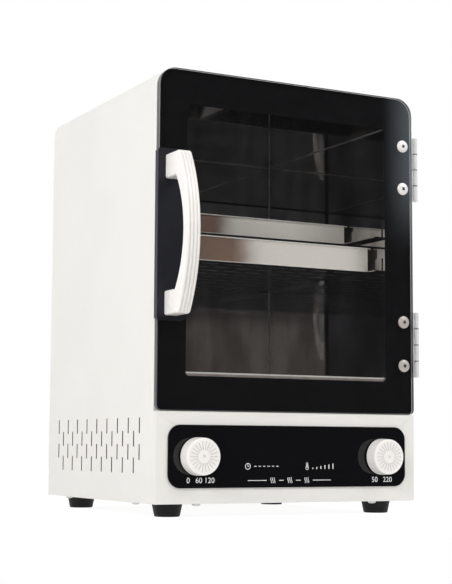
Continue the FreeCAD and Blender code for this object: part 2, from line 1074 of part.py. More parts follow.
def thermostat_body():
    x = knob_offset
    half = thermostat_width / 2
    rise = thermostat_height / 2
    case = slab(
        rectangle(x - half, x + half, knob_height - rise, knob_height + rise, bush_radius, bush_radius),
        Y_AXIS,
        panel_back,
        panel_back + thermostat_depth,
    )
    bush = rod(bush_radius, Vector(x, panel_front, knob_height), Y_AXIS, sheet)
    tabs = tabs_behind(x, panel_back + thermostat_depth)
    return without(joined([case, bush] + tabs), control_bores(x))


save("timer_body", timer_body())
save("thermostat_body", thermostat_body())

control_screws = []
for control_x in (-knob_offset, knob_offset):
    for seat in control_screw_places(control_x):
        screw = flush_screw(seat, Y_AXIS, small_screw_radius, small_head_radius, sheet, screw_reach)
        control_screws.append(screw)
save("control_screws", control_screws)


# Thermostat bulb under the chamber floor and the capillary that leads to it
def thermostat_capillary():
    x = heater_spacing
    bulb_z = heater_z
    bulb_back = bulb_front + bulb_length
    low = knob_height + thermostat_height / 4
    points = [
        Vector(knob_offset, panel_back + thermostat_depth, low),
        Vector(knob_offset, capillary_turn, low),
        Vector(x, capillary_turn, low),
        Vector(x, capillary_turn, bulb_z),
        Vector(x, bulb_back - bulb_radius, bulb_z),
    ]
    bulb = rod(bulb_radius, Vector(x, bulb_front, bulb_z), Y_AXIS, bulb_length)
    ends = [edge for edge in bulb.Edges if edge.Closed]
    bulb = bulb.makeFillet(bulb_radius / 2, ends)
    return joined([bulb, tube(points, capillary_radius, capillary_bend)])


save("thermostat_capillary", thermostat_capillary())


# Terminal block on the base plate
def terminal_block():
    body = box(
        -block_length / 2,
        block_length / 2,
        block_y,
        block_y + block_width,
        base_top,
        base_top + block_height,
    )
    pitch = block_length / block_ways
    cuts = []
    for way in range(block_ways):
        x = (way - (block_ways - 1) / 2) * pitch
        through = Vector(x, block_y - overrun, base_top + block_height / 3)
        cuts.append(rod(block_hole_radius, through, Y_AXIS, block_width + 2 * overrun))
        for share in (1 / 4, 3 / 4):
            top = Vector(x, block_y + block_width * share, base_top + block_height / 2)
            cuts.append(rod(block_hole_radius, top, Z_AXIS, block_height))
    return without(body, cuts)


save("terminal_block", terminal_block())


# Mains inlet: flanged body with a recess and three blades
def mains_inlet():
    flange_back = cabinet_rear + inlet_flange_thickness
    half_w = inlet_flange_width / 2
    half_h = inlet_flange_height / 2
    flange = slab(
        rectangle(
            inlet_x - half_w,
            inlet_x + half_w,
            inlet_z - half_h,
            inlet_z + half_h,
            inlet_flange_radius,
            inlet_flange_radius,
        ),
        Y_AXIS,
        cabinet_rear,
        flange_back,
    )
    body = box(
        inlet_x - inlet_body_width / 2,
        inlet_x + inlet_body_width / 2,
        cabinet_rear - inlet_body_depth,
        cabinet_rear,
        inlet_z - inlet_body_height / 2,
        inlet_z + inlet_body_height / 2,
    )
    recess = slab(
        rectangle(
            inlet_x - inlet_recess_width / 2,
            inlet_x + inlet_recess_width / 2,
            inlet_z - inlet_recess_height / 2,
            inlet_z + inlet_recess_height / 2,
            0.0,
            inlet_recess_radius,
        ),
        Y_AXIS,
        flange_back - inlet_recess_depth,
        flange_back + overrun,
    )
    cuts = [recess]
    for place in inlet_screw_places():
        seat = place + Y_AXIS * inlet_flange_thickness
        cuts.append(
            flush_hole(seat, -Y_AXIS, small_screw_radius, small_head_radius, sheet, inlet_flange_thickness)
        )
    shell = without(joined([flange, body]), cuts)
    blades = []
    places = ((-inlet_pin_spacing / 2, -inlet_pin_offset), (inlet_pin_spacing / 2, -inlet_pin_offset),
              (0.0, inlet_pin_offset))
    for x, z in places:
        blades.append(
            box(
                inlet_x + x - inlet_pin_width / 2,
                inlet_x + x + inlet_pin_width / 2,
                cabinet_rear - inlet_body_depth - tab_length,
                flange_back - inlet_pin_recess,
                inlet_z + z - inlet_pin_height / 2,
                inlet_z + z + inlet_pin_height / 2,
            )
        )
    return joined([shell] + blades)


save("mains_inlet", mains_inlet())

inlet_screws = []
for place in inlet_screw_places():
    seat = place + Y_AXIS * inlet_flange_thickness
    inlet_screws.append(
        flush_screw(seat, -Y_AXIS, small_screw_radius, small_head_radius, sheet, screw_reach)
    )
save("inlet_screws", inlet_screws)


# Control fascia
def control_fascia():
    plate = slab(
        rectangle(
            -fascia_half,
            fascia_half,
            fascia_bottom,
            fascia_top,
            fascia_radius,
            fascia_radius,
        ),
        Y_AXIS,
        fascia_front,
        panel_front,
    )
    holes = []
    for x in (-knob_offset, knob_offset):
        start = Vector(x, fascia_front - overrun, knob_height)
        holes.append(rod(bush_radius, start, Y_AXIS, overrun * 2))
    return without(plate, holes)


save("control_fascia", control_fascia())


# Knobs: tapered caps, hollow behind, with rays cut into the face
def knob(x):
    back = Vector(x, knob_back, knob_height)
    cap = Part.makeCone(knob_radius, knob_front_radius, knob_depth, back, -Y_AXIS)
    face_spot = Vector(x, knob_front, 0)
    face_edge = [edge for edge in cap.Edges if edge.Closed and on_plane(edge, face_spot, Y_AXIS)]
    cap = cap.makeFillet(knob_edge_round, face_edge)
    hollow = rod(knob_radius - knob_wall, back + Y_AXIS * overrun, -Y_AXIS, knob_hollow_depth + overrun)
    boss = rod(knob_boss_radius, back, -Y_AXIS, knob_hollow_depth)
    hollow = hollow.cut(boss)
    cuts = [hollow, shaft_form(x, running_gap)]
    for index in range(ray_count):
        ray = box(
            x + ray_inner_radius,
            x + ray_outer_radius,
            knob_front - overrun,
            knob_front + ray_depth,
            knob_height - ray_width / 2,
            knob_height + ray_width / 2,
        )
        ray.rotate(back, Y_AXIS, FULL_TURN * index / ray_count)
        cuts.append(ray)
    dimple = Vector(x, knob_front - overrun, knob_height)
    cuts.append(rod(knob_dimple_radius, dimple, Y_AXIS, overrun + knob_dimple_depth))
    return without(cap, cuts)


def shaft_form(x, grow):
    """Shaft with its flat inside the knob, made larger by grow for the knob's bore."""
    front = knob_front + knob_wall - grow
    end = panel_front + shaft_insertion
    shaft = rod(shaft_radius + grow, Vector(x, front, knob_height), Y_AXIS, end - front)
    flat = box(
        x - shaft_radius - overrun,
        x + shaft_radius + overrun,
        front - overrun,
        knob_back,
        knob_height + shaft_radius - shaft_flat + grow,
        knob_height + shaft_radius + overrun,
    )
    return shaft.cut(flat)


save("timer_knob", knob(-knob_offset))
save("timer_shaft", shaft_form(-knob_offset, 0.0))
save("thermostat_knob", knob(knob_offset))
save("thermostat_shaft", shaft_form(knob_offset, 0.0))


# Door glass, its printed border and the seal that it closes on
def door_outline(inset):
    return rectangle(
        -half_width + inset,
        half_width - inset,
        door_bottom + inset,
        door_top - inset,
        glass_low_radius - inset,
        corner_radius - inset,
    )


def handle_screw_places(y):
    return [Vector(handle_x, y, rise) for rise in handle_screw_rises]


def door_holes():
    places = hinge_screw_places(0.0) + handle_screw_places(0.0)
    return clearance_rods(places, Y_AXIS, screw_radius + fit)


def door_glass():
    glass = slab(door_outline(0.0), Y_AXIS, 0.0, glass_back)
    front_edges = [edge for edge in glass.Edges if on_plane(edge, Vector(), Y_AXIS)]
    glass = glass.makeChamfer(glass_chamfer, front_edges)
    return without(glass, door_holes())


def door_border():
    border = slab(door_outline(print_inset), Y_AXIS, glass_back, print_back)
    window = slab(
        rectangle(
            -half_width + window_side_margin,
            half_width - window_side_margin,
            door_bottom + window_low_margin,
            door_top - window_top_margin,
            window_radius,
            window_radius,
        ),
        Y_AXIS,
        glass_back - overrun,
        print_back + overrun,
    )
    return without(border, [window] + door_holes())


save("door_glass", door_glass())
save("door_border", door_border())


def door_seal():
    half = chamber_outer_half + seal_inset
    low = chamber_underside - seal_inset
    high = chamber_roof + seal_inset
    front = print_back + seal_gap
    outer = slab(
        rectangle(
            -half - seal_width,
            half + seal_width,
            low - seal_width,
            high + seal_width,
            seal_width,
            seal_width,
        ),
        Y_AXIS,
        front,
        flange_front,
    )
    return without(outer, [box(-half, half, front - overrun, flange_front + overrun, low, high)])


save("door_seal", door_seal())


# Hinges: leaves behind the glass and on the frame, knuckles in turn along a fixed pin
def hinge_leaf_solid(middle, y_low, y_high, own):
    low = middle - hinge_height / 2
    pitch = hinge_height / hinge_knuckles
    seam = hinge_x - knuckle_radius - knuckle_gap
    leaf = box(hinge_x - hinge_leaf_reach, seam, y_low, y_high, low, low + hinge_height)
    pieces = [leaf]
    for index in range(own, hinge_knuckles, 2):
        start = low + index * pitch + knuckle_gap / 2
        length = pitch - knuckle_gap
        pieces.append(box(seam, hinge_x, y_low, y_high, start, start + length))
        pieces.append(rod(knuckle_radius, Vector(hinge_x, hinge_y, start), Z_AXIS, length))
    bore = rod(
        pin_radius + running_gap,
        Vector(hinge_x, hinge_y, low - overrun),
        Z_AXIS,
        hinge_height + overrun * 2,
    )
    return without(joined(pieces), [bore])


def hinges():
    cabinet_leaf_front = frame_front - hinge_leaf
    cabinet_leaves = []
    door_leaves = []
    pins = []
    for middle in hinge_middles:
        cabinet_leaf = hinge_leaf_solid(middle, cabinet_leaf_front, frame_front, 0)
        holes = []
        for place in hinge_screw_places(cabinet_leaf_front):
            holes.append(
                flush_hole(place, Y_AXIS, screw_radius, screw_head_radius, hinge_leaf, overrun)
            )
        cabinet_leaves.append(without(cabinet_leaf, holes))
        door_leaf = hinge_leaf_solid(middle, print_back, print_back + hinge_leaf, 1)
        holes = clearance_rods(hinge_screw_places(print_back), Y_AXIS, screw_radius + fit)
        door_leaves.append(without(door_leaf, holes))
        foot = Vector(hinge_x, hinge_y, middle - hinge_height / 2)
        pins.append(rod(pin_radius, foot, Z_AXIS, hinge_height))
    save("hinge_cabinet_leaves", cabinet_leaves)
    save("hinge_door_leaves", door_leaves)
    save("hinge_pins", pins)


hinges()

frame_screws = []
for seat in hinge_screw_places(frame_front - hinge_leaf):
    frame_screws.append(
        flush_screw(seat, Y_AXIS, screw_radius, screw_head_radius, hinge_leaf, sheet + screw_reach / 2)
    )
save("hinge_frame_screws", frame_screws)


# Door screws: wide domed heads in front of the glass
def truss_screw(seat, reach):
    dome_rise = truss_height - truss_rim
    dome_radius = (truss_radius ** 2 + dome_rise ** 2) / (2 * dome_rise)
    rim = rod(truss_radius, seat, -Y_AXIS, truss_height)
    dome = Part.makeSphere(dome_radius, seat - Y_AXIS * (truss_height - dome_radius))
    return joined([rim.common(dome), rod(screw_radius, seat, Y_AXIS, reach)])


door_screw_reach = print_back + hinge_leaf + fit
save("door_screws", [truss_screw(seat, door_screw_reach) for seat in hinge_screw_places(0.0)])


# Handle: fluted bow on the plate that is folded round the edge of the glass
def door_handle():
    low = handle_bottom
    high = handle_top
    end_front = handle_foot - handle_stand
    grip_front = end_front - handle_bow
    end_back = end_front + handle_end_thickness
    grip_back = grip_front + handle_grip_thickness
    x = handle_left

    def point(y, z):
        return Vector(x, y, z)

    outer = Part.Arc(
        point(end_front, low), point(grip_front, handle_middle), point(end_front, high)
    ).toShape()
    inner = Part.Arc(
        point(end_back, low + handle_post),
        point(grip_back, handle_middle),
        point(end_back, high - handle_post),
    ).toShape()
    edges = [
        outer,
        Part.LineSegment(point(end_front, high), point(handle_foot, high)).toShape(),
        Part.LineSegment(point(handle_foot, high), point(handle_foot, high - handle_post)).toShape(),
        Part.LineSegment(point(handle_foot, high - handle_post), point(end_back, high - handle_post)).toShape(),
        inner,
        Part.LineSegment(point(end_back, low + handle_post), point(handle_foot, low + handle_post)).toShape(),
        Part.LineSegment(point(handle_foot, low + handle_post), point(handle_foot, low)).toShape(),
        Part.LineSegment(point(handle_foot, low), point(end_front, low)).toShape(),
    ]
    profile = Part.Face(Part.Wire(Part.__sortEdges__(edges)))
    bow = profile.extrude(X_AXIS * handle_width)
    corners = []
    for edge in bow.Edges:
        middle = edge.CenterOfMass
        across = abs(middle.x - handle_x) < fit
        if across and abs(middle.y - end_front) < fit:
            corners.append(edge)
    bow = bow.makeFillet(handle_corner, corners)
    long_edges = []
    for edge in bow.Edges:
        middle = edge.CenterOfMass
        beside = abs(middle.x - handle_x) > handle_width / 2 - fit
        if beside and middle.y < handle_foot - fit:
            long_edges.append(edge)
    bow = bow.makeFillet(handle_edge_round, long_edges)
    flutes = []
    for index in range(flute_count):
        offset = (index - (flute_count - 1) / 2) * flute_pitch
        centre = Vector(handle_x + offset, outer.Curve.Center.y, outer.Curve.Center.z)
        flutes.append(Part.makeTorus(outer.Curve.Radius, flute_radius, centre, X_AXIS))
    bores = []
    for place in handle_screw_places(handle_foot):
        bores.append(rod(screw_radius + fit, place, -Y_AXIS, screw_reach + fit))
    return without(without(bow, flutes), bores)


save("door_handle", door_handle())


def handle_plate():
    left = -half_width - fit - plate_thickness
    right = -half_width + plate_width
    back = print_back + fit + plate_thickness
    face = slab(
        [
            (left, plate_bottom, plate_corner),
            (right, plate_bottom, plate_low_corner),
            (right, plate_top, plate_corner),
            (left, plate_top, plate_corner),
        ],
        Y_AXIS,
        -plate_thickness,
        0.0,
    )
    web_low = plate_bottom + plate_corner
    web_high = plate_top - plate_corner
    web = box(left, left + plate_thickness, 0.0, back, web_low, web_high)
    hook = box(left, -half_width + plate_back_width, back - plate_thickness, back, web_low, web_high)
    holes = clearance_rods(handle_screw_places(0.0), Y_AXIS, screw_radius + fit)
    return without(joined([face, web, hook]), holes)


save("handle_plate", handle_plate())

handle_screws = []
for seat in handle_screw_places(print_back):
    reach = print_back + plate_thickness + screw_reach
    handle_screws.append(
        pan_screw(seat, -Y_AXIS, screw_radius, screw_head_radius, thin_head_height, reach)
    )
save("handle_screws", handle_screws)


# Magnetic catches in the frame and the strike plates behind the glass
save("catch_magnets", [magnet_solid(rise, 0.0) for rise in catch_middles])


def strike_plate(rise):
    x_low = -half_width + magnet_inset
    return box(
        x_low,
        x_low + magnet_width,
        print_back,
        print_back + strike_thickness,
        rise - magnet_length / 2,
        rise + magnet_length / 2,
    )


save("strike_plates", [strike_plate(rise) for rise in catch_middles])


# Feet with their screws
def foot(place):
    body = Part.makeCone(foot_bottom_radius, foot_top_radius, foot_height, place, Z_AXIS)
    low_edge = [edge for edge in body.Edges if edge.Closed and on_plane(edge, place, Z_AXIS)]
    body = body.makeFillet(foot_edge_round, low_edge)
    recess = rod(foot_recess_radius, place - Z_AXIS * overrun, Z_AXIS, foot_recess_depth + overrun)
    hole = rod(screw_radius + fit, place, Z_AXIS, foot_height + overrun)
    return without(body, [recess, hole])


foot_names = ("foot_front_left", "foot_front_right", "foot_rear_left", "foot_rear_right")
for name, place in zip(foot_names, foot_places()):
    save(name, foot(place))

foot_screws = []
for place in foot_places():
    seat = place + Z_AXIS * foot_recess_depth
    reach = base_top + screw_reach / 2 - foot_recess_depth
    foot_screws.append(
        pan_screw(seat, Z_AXIS, screw_radius, screw_head_radius, screw_head_height, reach)
    )
save("foot_screws", foot_screws)

base_screws = []
for seat in base_screw_places():
    base_screws.append(
        pan_screw(seat, Z_AXIS, screw_radius, screw_head_radius, screw_head_height, screw_reach)
    )
save("base_screws", base_screws)

back_screws = []
for seat in back_screw_places():
    back_screws.append(
        pan_screw(seat, -Y_AXIS, screw_radius, screw_head_radius, screw_head_height, screw_reach)
    )
save("back_screws", back_screws)

os.makedirs("parts", exist_ok=True)
for name, shape in nodes.items():
    shape.exportStep(f"parts/{name}.step")

whole = Part.makeCompound(list(nodes.values())).BoundBox
print("nodes", len(nodes))
limits = (whole.XMin, whole.XMax, whole.YMin, whole.YMax, whole.ZMin, whole.ZMax)
print("box", [round(value, 3) for value in limits])
print("shift", round(shift.x, 4), round(shift.y, 4))
print("hinge axis", round(hinge_x + shift.x, 4), round(hinge_y + shift.y, 4))
print("knob axes", round(knob_offset, 4), round(knob_height, 4))
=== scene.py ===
import math

import bmesh
import bpy
from mathutils import Matrix, Vector


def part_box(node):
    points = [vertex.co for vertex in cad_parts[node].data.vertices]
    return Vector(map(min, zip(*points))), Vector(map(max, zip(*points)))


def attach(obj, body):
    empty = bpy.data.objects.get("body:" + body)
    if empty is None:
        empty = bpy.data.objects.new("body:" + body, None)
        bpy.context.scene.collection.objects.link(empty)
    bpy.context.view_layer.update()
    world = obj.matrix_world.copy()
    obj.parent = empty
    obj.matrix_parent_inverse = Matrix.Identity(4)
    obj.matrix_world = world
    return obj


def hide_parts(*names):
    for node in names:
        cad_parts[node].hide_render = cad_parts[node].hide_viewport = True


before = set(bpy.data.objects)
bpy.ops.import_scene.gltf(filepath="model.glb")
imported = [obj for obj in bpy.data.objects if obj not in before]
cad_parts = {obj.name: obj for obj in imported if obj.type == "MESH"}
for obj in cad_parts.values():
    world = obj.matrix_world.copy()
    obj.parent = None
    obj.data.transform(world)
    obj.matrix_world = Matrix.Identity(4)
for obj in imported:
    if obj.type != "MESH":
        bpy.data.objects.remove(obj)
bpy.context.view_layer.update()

# Casing: the wrap, the lower front, the back and the frame behind the door's edge are folded from
# 1.2 mm steel sheet and powder coated white, which rounds every edge a little and leaves a very
# fine orange peel.
MM = 0.001
coat_colour = (0.80, 0.785, 0.755)
coat_peel = 0.9 * MM
coat_peel_height = 0.012 * MM
coat_cloud = 90 * MM
sheet_edge = 0.35 * MM
# painted shade on the walls of the vent slots
vent_shade_colour = (0.045, 0.045, 0.043)
vent_margin = 15 * MM
vent_foot = 8 * MM
vent_top = 80 * MM
vent_depth = 1.5 * MM
round_angle = math.radians(35.0)
round_segments = 2
weld_gap = 0.002 * MM


class Signal:
    """One shader socket that can be used in Python expressions."""

    def __init__(self, web, socket):
        self.web = web
        self.socket = socket

    def maths(self, operation, *others):
        values = dict(enumerate((self,) + others))
        return self.web.node("ShaderNodeMath", {"operation": operation}, values)

    def __add__(self, other):
        return self.maths("ADD", other)

    __radd__ = __add__

    def __mul__(self, other):
        return self.maths("MULTIPLY", other)

    __rmul__ = __mul__

    def __sub__(self, other):
        return self.maths("SUBTRACT", other)

    def __rsub__(self, other):
        return (self * -1) + other

    def __truediv__(self, other):
        return self.maths("DIVIDE", other)

    def __gt__(self, other):
        return self.maths("GREATER_THAN", other)

    def __lt__(self, other):
        return self.maths("LESS_THAN", other)

    def ramp(self, low, high, start=0.0, end=1.0):
        values = {"Value": self, "From Min": low, "From Max": high, "To Min": start, "To Max": end}
        return self.web.node("ShaderNodeMapRange", {"interpolation_type": "SMOOTHSTEP"}, values)


class Web:
    """A shader's node tree, in which Signals are made and joined."""

    def __init__(self, owner):
        owner.use_nodes = True
        self.tree = owner.node_tree

    def feed(self, socket, value):
        if isinstance(value, Signal):
            self.tree.links.new(value.socket, socket)
        elif isinstance(value, tuple) and socket.type == "RGBA":
            socket.default_value = (*value, 1.0)
        else:
            socket.default_value = value

    def node(self, kind, settings=None, values=None, output=0):
        made = self.tree.nodes.new(kind)
        for key, value in (settings or {}).items():
            setattr(made, key, value)
        for key, value in (values or {}).items():
            self.feed(made.inputs[key], value)
        return Signal(self, made.outputs[output])

    def axes(self, output="Object"):
        where = self.node("ShaderNodeTexCoord", output=output)
        split = self.tree.nodes.new("ShaderNodeSeparateXYZ")
        self.tree.links.new(where.socket, split.inputs[0])
        return [Signal(self, part) for part in split.outputs]

    def blend(self, factor, first, second):
        values = {0: factor, 6: first, 7: second}
        return self.node("ShaderNodeMix", {"data_type": "RGBA"}, values, output=2)

    def layer(self, factor, first, second):
        return self.node("ShaderNodeMixShader", None, {0: factor, 1: first, 2: second})

    def ray(self, *kinds):
        """One where the ray is of any of these kinds."""
        total = self.node("ShaderNodeLightPath", output=kinds[0])
        for kind in kinds[1:]:
            total = total.maths("MAXIMUM", self.node("ShaderNodeLightPath", output=kind))
        return total


class Finish(Web):
    """One material, its shader written as expressions on Signals."""

    def __init__(self, name, **sockets):
        self.material = bpy.data.materials.new(name)
        super().__init__(self.material)
        self.shader = self.tree.nodes["Principled BSDF"]
        for socket, value in sockets.items():
            self.give(socket.replace("_", " ").title().replace("Ior", "IOR"), value)

    def give(self, name, value):
        self.feed(self.shader.inputs[name], value)

    def surface(self, signal):
        self.feed(self.tree.nodes["Material Output"].inputs["Surface"], signal)

    def noise(self, grain, detail=2.0, stretch=None):
        where = self.node("ShaderNodeTexCoord", output="Object")
        if stretch:
            where = self.node("ShaderNodeVectorMath", {"operation": "MULTIPLY"}, {0: where, 1: stretch})
        values = {"Vector": where, "Scale": 1 / grain, "Detail": detail}
        return self.node("ShaderNodeTexNoise", None, values)

    def bump(self, height, distance, strength=1.0):
        values = {"Height": height, "Distance": distance, "Strength": strength}
        self.give("Normal", self.node("ShaderNodeBump", None, values))


def shade(colour, factor):
    return tuple(min(1.0, part * factor) for part in colour)


def round_edges(piece, width):
    """Small round on every edge sharper than the angle, as coating and tumbling leave it."""
    for face in piece.data.polygons:
        face.use_smooth = True
    weld = piece.modifiers.new("joined corners", "WELD")
    weld.merge_threshold = weld_gap
    rounding = piece.modifiers.new("rounded edges", "BEVEL")
    rounding.width = width
    rounding.segments = round_segments
    rounding.limit_method = "ANGLE"
    rounding.angle_limit = round_angle
    rounding.use_clamp_overlap = True
    normals = piece.modifiers.new("flat faces", "WEIGHTED_NORMAL")
    normals.keep_sharp = False
    normals.weight = 80


def dress(node, finish, width=0.0):
    """Gives a CAD node its finish and, where a width is given, rounds its edges."""
    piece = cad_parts[node]
    piece.data.materials.clear()
    piece.data.materials.append(finish.material)
    if width:
        round_edges(piece, width)
    return piece


def plain(name, colour, grain, depth=0.12, **sockets):
    """A simple finish with a little mottling at one scale."""
    finish = Finish(name, **sockets)
    mottle = finish.noise(grain, 3.0).ramp(0.3, 0.7)
    finish.give("Base Color", finish.blend(mottle, shade(colour, 1 - depth), shade(colour, 1 + depth)))
    return finish


def powder_coat():
    finish = Finish("white powder coat", roughness=0.38)
    cloud = finish.noise(coat_cloud, 3.0).ramp(0.3, 0.7)
    finish.give("Base Color", finish.blend(cloud, shade(coat_colour, 0.985), shade(coat_colour, 1.015)))
    finish.give("Roughness", finish.noise(coat_peel * 4).ramp(0.3, 0.7, 0.34, 0.44))
    finish.bump(finish.noise(coat_peel), coat_peel_height, 0.6)
    return finish


def shade_vents(wrap):
    """The vents' slot walls are coloured dark: painted shade, since they see only the dark inside."""
    slot_shade = plain("punched edge", vent_shade_colour, 3 * MM, 0.15, roughness=0.6)
    wrap.data.materials.append(slot_shade.material)
    low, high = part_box("casing_wrap")
    middle = (low.x + high.x) / 2
    half = (high.x - low.x) / 2
    for face in wrap.data.polygons:
        place = face.center
        across = abs(face.normal.x) < 0.5 and abs(place.x - middle) > half - vent_depth
        inside = low.y + vent_margin < place.y < high.y - vent_margin
        level = low.z + vent_foot < place.z < low.z + vent_top
        if across and inside and level:
            face.material_index = 1


coat = powder_coat()
for sheet_node in ("casing_wrap", "front_panel", "back_panel", "front_frame"):
    dress(sheet_node, coat, sheet_edge)
shade_vents(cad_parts["casing_wrap"])

# Base, partition, straps and posts: zinc-plated steel sheet and rod, left bare because they
# don't show from the front.
zinc_colour = (0.62, 0.62, 0.60)
zinc_spangle = 7 * MM


def zinc_sheet():
    finish = Finish("zinc sheet", metallic=1.0)
    where = finish.node("ShaderNodeTexCoord", output="Object")
    values = {"Vector": where, "Scale": 1 / zinc_spangle}
    spangle = finish.node("ShaderNodeTexVoronoi", None, values, output="Color")
    grey = finish.node("ShaderNodeRGBToBW", None, {"Color": spangle})
    finish.give("Base Color", finish.blend(grey, shade(zinc_colour, 0.88), shade(zinc_colour, 1.1)))
    finish.give("Roughness", grey.ramp(0.0, 1.0, 0.36, 0.52))
    return finish


zinc = zinc_sheet()
for zinc_node in ("base_plate", "partition_plate", "heater_straps", "chamber_posts", "strike_plates"):
    dress(zinc_node, zinc)

# Chamber and runners: stainless sheet polished to a mirror, so that what shows is mostly what the
# walls reflect. Heat has dulled it a little. The low lip on its floor is brushed.
mirror_colour = (0.60, 0.595, 0.59)
mirror_stain = (0.36, 0.345, 0.33)
# painted highlight: the pale, rougher line along the chamber's inner corners
corner_highlight_colour = (0.80, 0.79, 0.77)
corner_highlight_width = 0.9 * MM
wall = 1.0 * MM
flange = 7.0 * MM
# painted highlight along the lip's folded upper edge
lip_edge_highlight = (0.98, 0.96, 0.92)
lip_dull = (0.36, 0.32, 0.29)
lip_height = 12.5 * MM
lip_highlight_height = 1.3 * MM
lip_reach = 2 * MM
level_highlight_share = 0.45
chamber_low, chamber_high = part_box("chamber")


def painted_corner_highlight(finish):
    """One along the chamber's inner corners, where two walls are close at once: a painted highlight for the
    light that the rounded corners catch.
    """
    x, y, z = finish.axes()
    middle = (chamber_low.x + chamber_high.x) / 2
    half = (chamber_high.x - chamber_low.x) / 2 - flange - wall - corner_highlight_width
    side = (x - middle).maths("ABSOLUTE") > half
    back = y > chamber_high.y - wall - corner_highlight_width
    roof = z > chamber_high.z - flange - wall - corner_highlight_width
    upright = (side + back) > 1.5
    level = (side + back + roof) > 1.5
    return (level * level_highlight_share).maths("MAXIMUM", upright)


def mirror_sheet(name, low, high):
    finish = Finish(name)
    stain = finish.noise(38 * MM, 4.0, (1.0, 1.0, 0.45)).ramp(0.38, 0.66)
    painted_line = painted_corner_highlight(finish)
    sheet = finish.blend(stain, mirror_colour, mirror_stain)
    # the inner corners get a painted highlight
    finish.give("Base Color", finish.blend(painted_line, sheet, corner_highlight_colour))
    finish.give("Metallic", 1 - painted_line * 0.8)
    finish.give("Roughness", finish.noise(60 * MM, 3.0).ramp(0.3, 0.7, low, high) + painted_line * 0.3)
    return finish


def brushed_lip():
    """Dull below, with a painted highlight along the folded upper edge."""
    finish = Finish("brushed lip", metallic=0.4, roughness=0.32)
    corners = [corner.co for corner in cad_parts["chamber"].data.vertices]
    near = [place.z for place in corners if place.y < chamber_low.y + lip_reach]
    lip_top = max(rise for rise in near if rise < chamber_low.z + lip_height)
    x, y, z = finish.axes()
    line = z > lip_top - lip_highlight_height
    grain = finish.noise(12 * MM, 3.0).ramp(0.3, 0.7)
    dull = finish.blend(grain, lip_dull, shade(lip_dull, 1.35))
    finish.give("Base Color", finish.blend(line, dull, lip_edge_highlight))
    return finish


mirror = mirror_sheet("mirror polished steel", 0.012, 0.05)
chamber = dress("chamber", mirror)
chamber.data.materials.append(brushed_lip().material)
for face in chamber.data.polygons:
    if face.center.y < chamber_low.y + lip_reach and face.center.z < chamber_low.z + lip_height:
        face.material_index = 1
for runner_node in ("runners_left", "runners_right"):
    dress(runner_node, mirror)

# Trays: folded from bright stainless sheet 0.8 mm thick, with a hemmed front. The brown on the left of
# each front is a painted reflection, and the bright lines along the hem are painted highlights. Their
# slotted undersides are still polished, with painted shade on the walls of the slots.
tray_bright = (0.93, 0.885, 0.835)
tray_painted_reflection = (0.26, 0.165, 0.12)
tray_hem_highlight = (0.97, 0.955, 0.92)
tray_brush = 0.35 * MM
tray_base_colour = (0.22, 0.22, 0.22)
reflection_edge = -0.030
reflection_wander = 0.02
hem_height = 0.9 * MM
front_reach = 3 * MM
base_thickness = 1.0 * MM
slot_wall_shade_colour = (0.13, 0.13, 0.128)


def tray_sheet(node):
    finish = Finish(f"bright steel of the {node}", metallic=0.05)
    low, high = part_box(node)
    x, y, z = finish.axes()
    wander = finish.noise(26 * MM, 2.0)
    # painted reflection: the left of each front is brown, the rest bright
    dark_reflection = (x + wander * reflection_wander).ramp(reflection_edge - 0.012, reflection_edge + 0.022, 1.0, 0.0)
    brush = finish.noise(tray_brush, 2.0, (0.06, 1.0, 1.0))
    bright = finish.blend(brush, shade(tray_bright, 0.96), shade(tray_bright, 1.03))
    sheet = finish.blend(dark_reflection, bright, tray_painted_reflection)
    # painted highlights along the top and bottom edges of the hem
    hem_highlight = (z > high.z - hem_height) + (z < low.z + hem_height * 0.6)
    finish.give("Base Color", finish.blend(hem_highlight, sheet, tray_hem_highlight))
    finish.give("Roughness", brush.ramp(0.3, 0.7, 0.26, 0.36))
    return finish


tray_base = plain("tray underside", tray_base_colour, 20 * MM, 0.1, metallic=1.0, roughness=0.2)
# painted shade on the walls of the tray slots
slot_wall_shade = plain("cut edges of the slots", slot_wall_shade_colour, 5 * MM, 0.2, metallic=0.3, roughness=0.4)
for tray_node in ("lower_tray", "upper_tray"):
    tray = dress(tray_node, tray_sheet(tray_node), 0.15 * MM)
    tray.data.materials.append(tray_base.material)
    tray.data.materials.append(slot_wall_shade.material)
    tray_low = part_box(tray_node)[0]
    for face in tray.data.polygons:
        if face.center.y < tray_low.y + front_reach:
            face.material_index = 0
        elif abs(face.normal.z) > 0.99:
            face.material_index = 1
        elif face.center.z < tray_low.z + base_thickness:
            face.material_index = 2

# Insulation: slabs of yellow mineral wool between the chamber and the casing, matt, with a short
# fibre that lies level.
wool_colour = (0.62, 0.50, 0.24)
wool_fibre = 1.6 * MM
wool_nap = 1.2 * MM


def mineral_wool():
    finish = Finish("mineral wool", roughness=1.0)
    fibre = finish.noise(wool_fibre, 4.0, (1.0, 1.0, 3.0))
    finish.give("Base Color", finish.blend(fibre, shade(wool_colour, 0.7), shade(wool_colour, 1.2)))
    finish.bump(fibre, wool_nap, 0.8)
    return finish


wool = mineral_wool()
for side in ("top", "left", "right", "back", "bottom"):
    dress(f"insulation_{side}", wool)

# Heater and thermostat: a tubular heater sheathed in dull stainless tube, and the copper bulb and
# capillary that feel the chamber's floor.
heater_colour = (0.20, 0.19, 0.18)
copper_colour = (0.62, 0.30, 0.18)

dress("heater_element", plain("heater tube", heater_colour, 6 * MM, metallic=1.0, roughness=0.45))
dress("thermostat_capillary", plain("bare copper", copper_colour, 9 * MM, metallic=1.0, roughness=0.3))

# Electrical pieces in the bay behind the knobs: moulded timer, thermostat and terminal block, the
# cut-out's disc, and their shafts.
cream_colour = (0.62, 0.57, 0.45)
bay_black_colour = (0.018, 0.018, 0.019)
plated_colour = (0.62, 0.62, 0.61)

